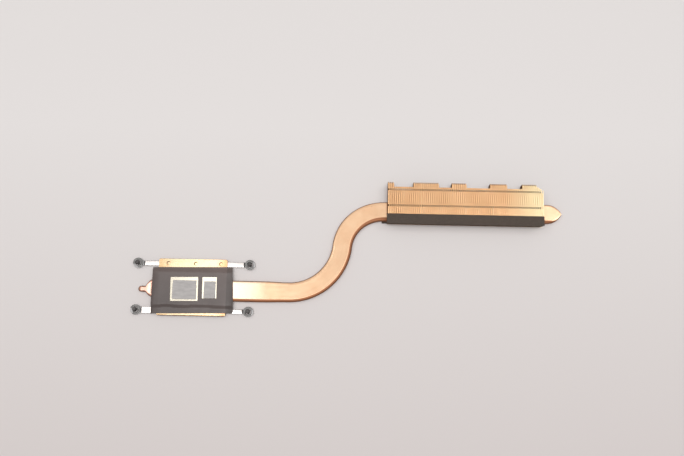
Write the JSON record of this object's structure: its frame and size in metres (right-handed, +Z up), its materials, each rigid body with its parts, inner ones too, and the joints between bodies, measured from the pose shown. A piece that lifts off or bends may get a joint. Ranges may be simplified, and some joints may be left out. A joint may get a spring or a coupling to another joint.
{
  "type": "laptop heat-pipe heatsink",
  "caption": "Copper laptop heatsink: a cold plate on spring strips with captive screws, a flattened S-bent heat pipe and a pack of folded, interlocking fins.",
  "frame": {"origin": "under the middle of the whole part, on the surface that it lies on", "axes": "+X along the fin pack, away from the cold plate; +Y across the fins, towards the longer fins; +Z up, the way that the contact side faces"},
  "size_m": [0.2016, 0.064, 0.0095],
  "materials": {
    "pipe_copper": "satin copper, bare",
    "plate_copper": "bright stamped copper",
    "fin_copper": "folded copper sheet",
    "wick_copper": "sintered copper",
    "solder": "dull solder",
    "strip_steel": "bright spring steel",
    "screw_steel": "dark plated steel",
    "clip_steel": "spring steel",
    "film": "black insulating film",
    "pad": "grey thermal pad",
    "foam": "dark closed-cell foam"
  },
  "bodies": {
    "heatsink": {"heat_pipe": "pipe_copper", "wick": "wick_copper", "cold_plate": "plate_copper", "plate_solder": "solder", "strip_far": "strip_steel", "strip_near": "strip_steel", "insulating_film": "film", "cpu_pad": "pad", "chipset_pad": "pad", "fin_solder": "solder", "fins_1": "fin_copper", "fins_2": "fin_copper", "fins_3": "fin_copper", "fins_4": "fin_copper", "fins_5": "fin_copper", "fins_6": "fin_copper", "fins_7": "fin_copper", "fins_8": "fin_copper", "fins_9": "fin_copper", "fins_10": "fin_copper", "foam_top": "foam", "foam_low": "foam"},
    "clip_1": {"clip_1": "clip_steel"},
    "screw_1": {"screw_1": "screw_steel"},
    "clip_2": {"clip_2": "clip_steel"},
    "screw_2": {"screw_2": "screw_steel"},
    "clip_3": {"clip_3": "clip_steel"},
    "screw_3": {"screw_3": "screw_steel"},
    "clip_4": {"clip_4": "clip_steel"},
    "screw_4": {"screw_4": "screw_steel"}
  },
  "joints": [
    {"name": "screw_1_slide", "type": "slide", "parent": "heatsink", "child": "clip_1", "axis": [0, 0, 1], "range_m": [-0.0008, 0]},
    {"name": "screw_1_turn", "type": "hinge", "parent": "clip_1", "child": "screw_1", "pos_m": [-0.09832, -0.00755, 0], "axis": [0, 0, 1], "continuous": true},
    {"name": "screw_2_slide", "type": "slide", "parent": "heatsink", "child": "clip_2", "axis": [0, 0, 1], "range_m": [-0.0008, 0]},
    {"name": "screw_2_turn", "type": "hinge", "parent": "clip_2", "child": "screw_2", "pos_m": [-0.04572, -0.00755, 0], "axis": [0, 0, 1], "continuous": true},
    {"name": "screw_3_slide", "type": "slide", "parent": "heatsink", "child": "clip_3", "axis": [0, 0, 1], "range_m": [-0.0008, 0]},
    {"name": "screw_3_turn", "type": "hinge", "parent": "clip_3", "child": "screw_3", "pos_m": [-0.09832, -0.02955, 0], "axis": [0, 0, 1], "continuous": true},
    {"name": "screw_4_slide", "type": "slide", "parent": "heatsink", "child": "clip_4", "axis": [0, 0, 1], "range_m": [-0.0008, 0]},
    {"name": "screw_4_turn", "type": "hinge", "parent": "clip_4", "child": "screw_4", "pos_m": [-0.04572, -0.02955, 0], "axis": [0, 0, 1], "continuous": true}
  ]
}
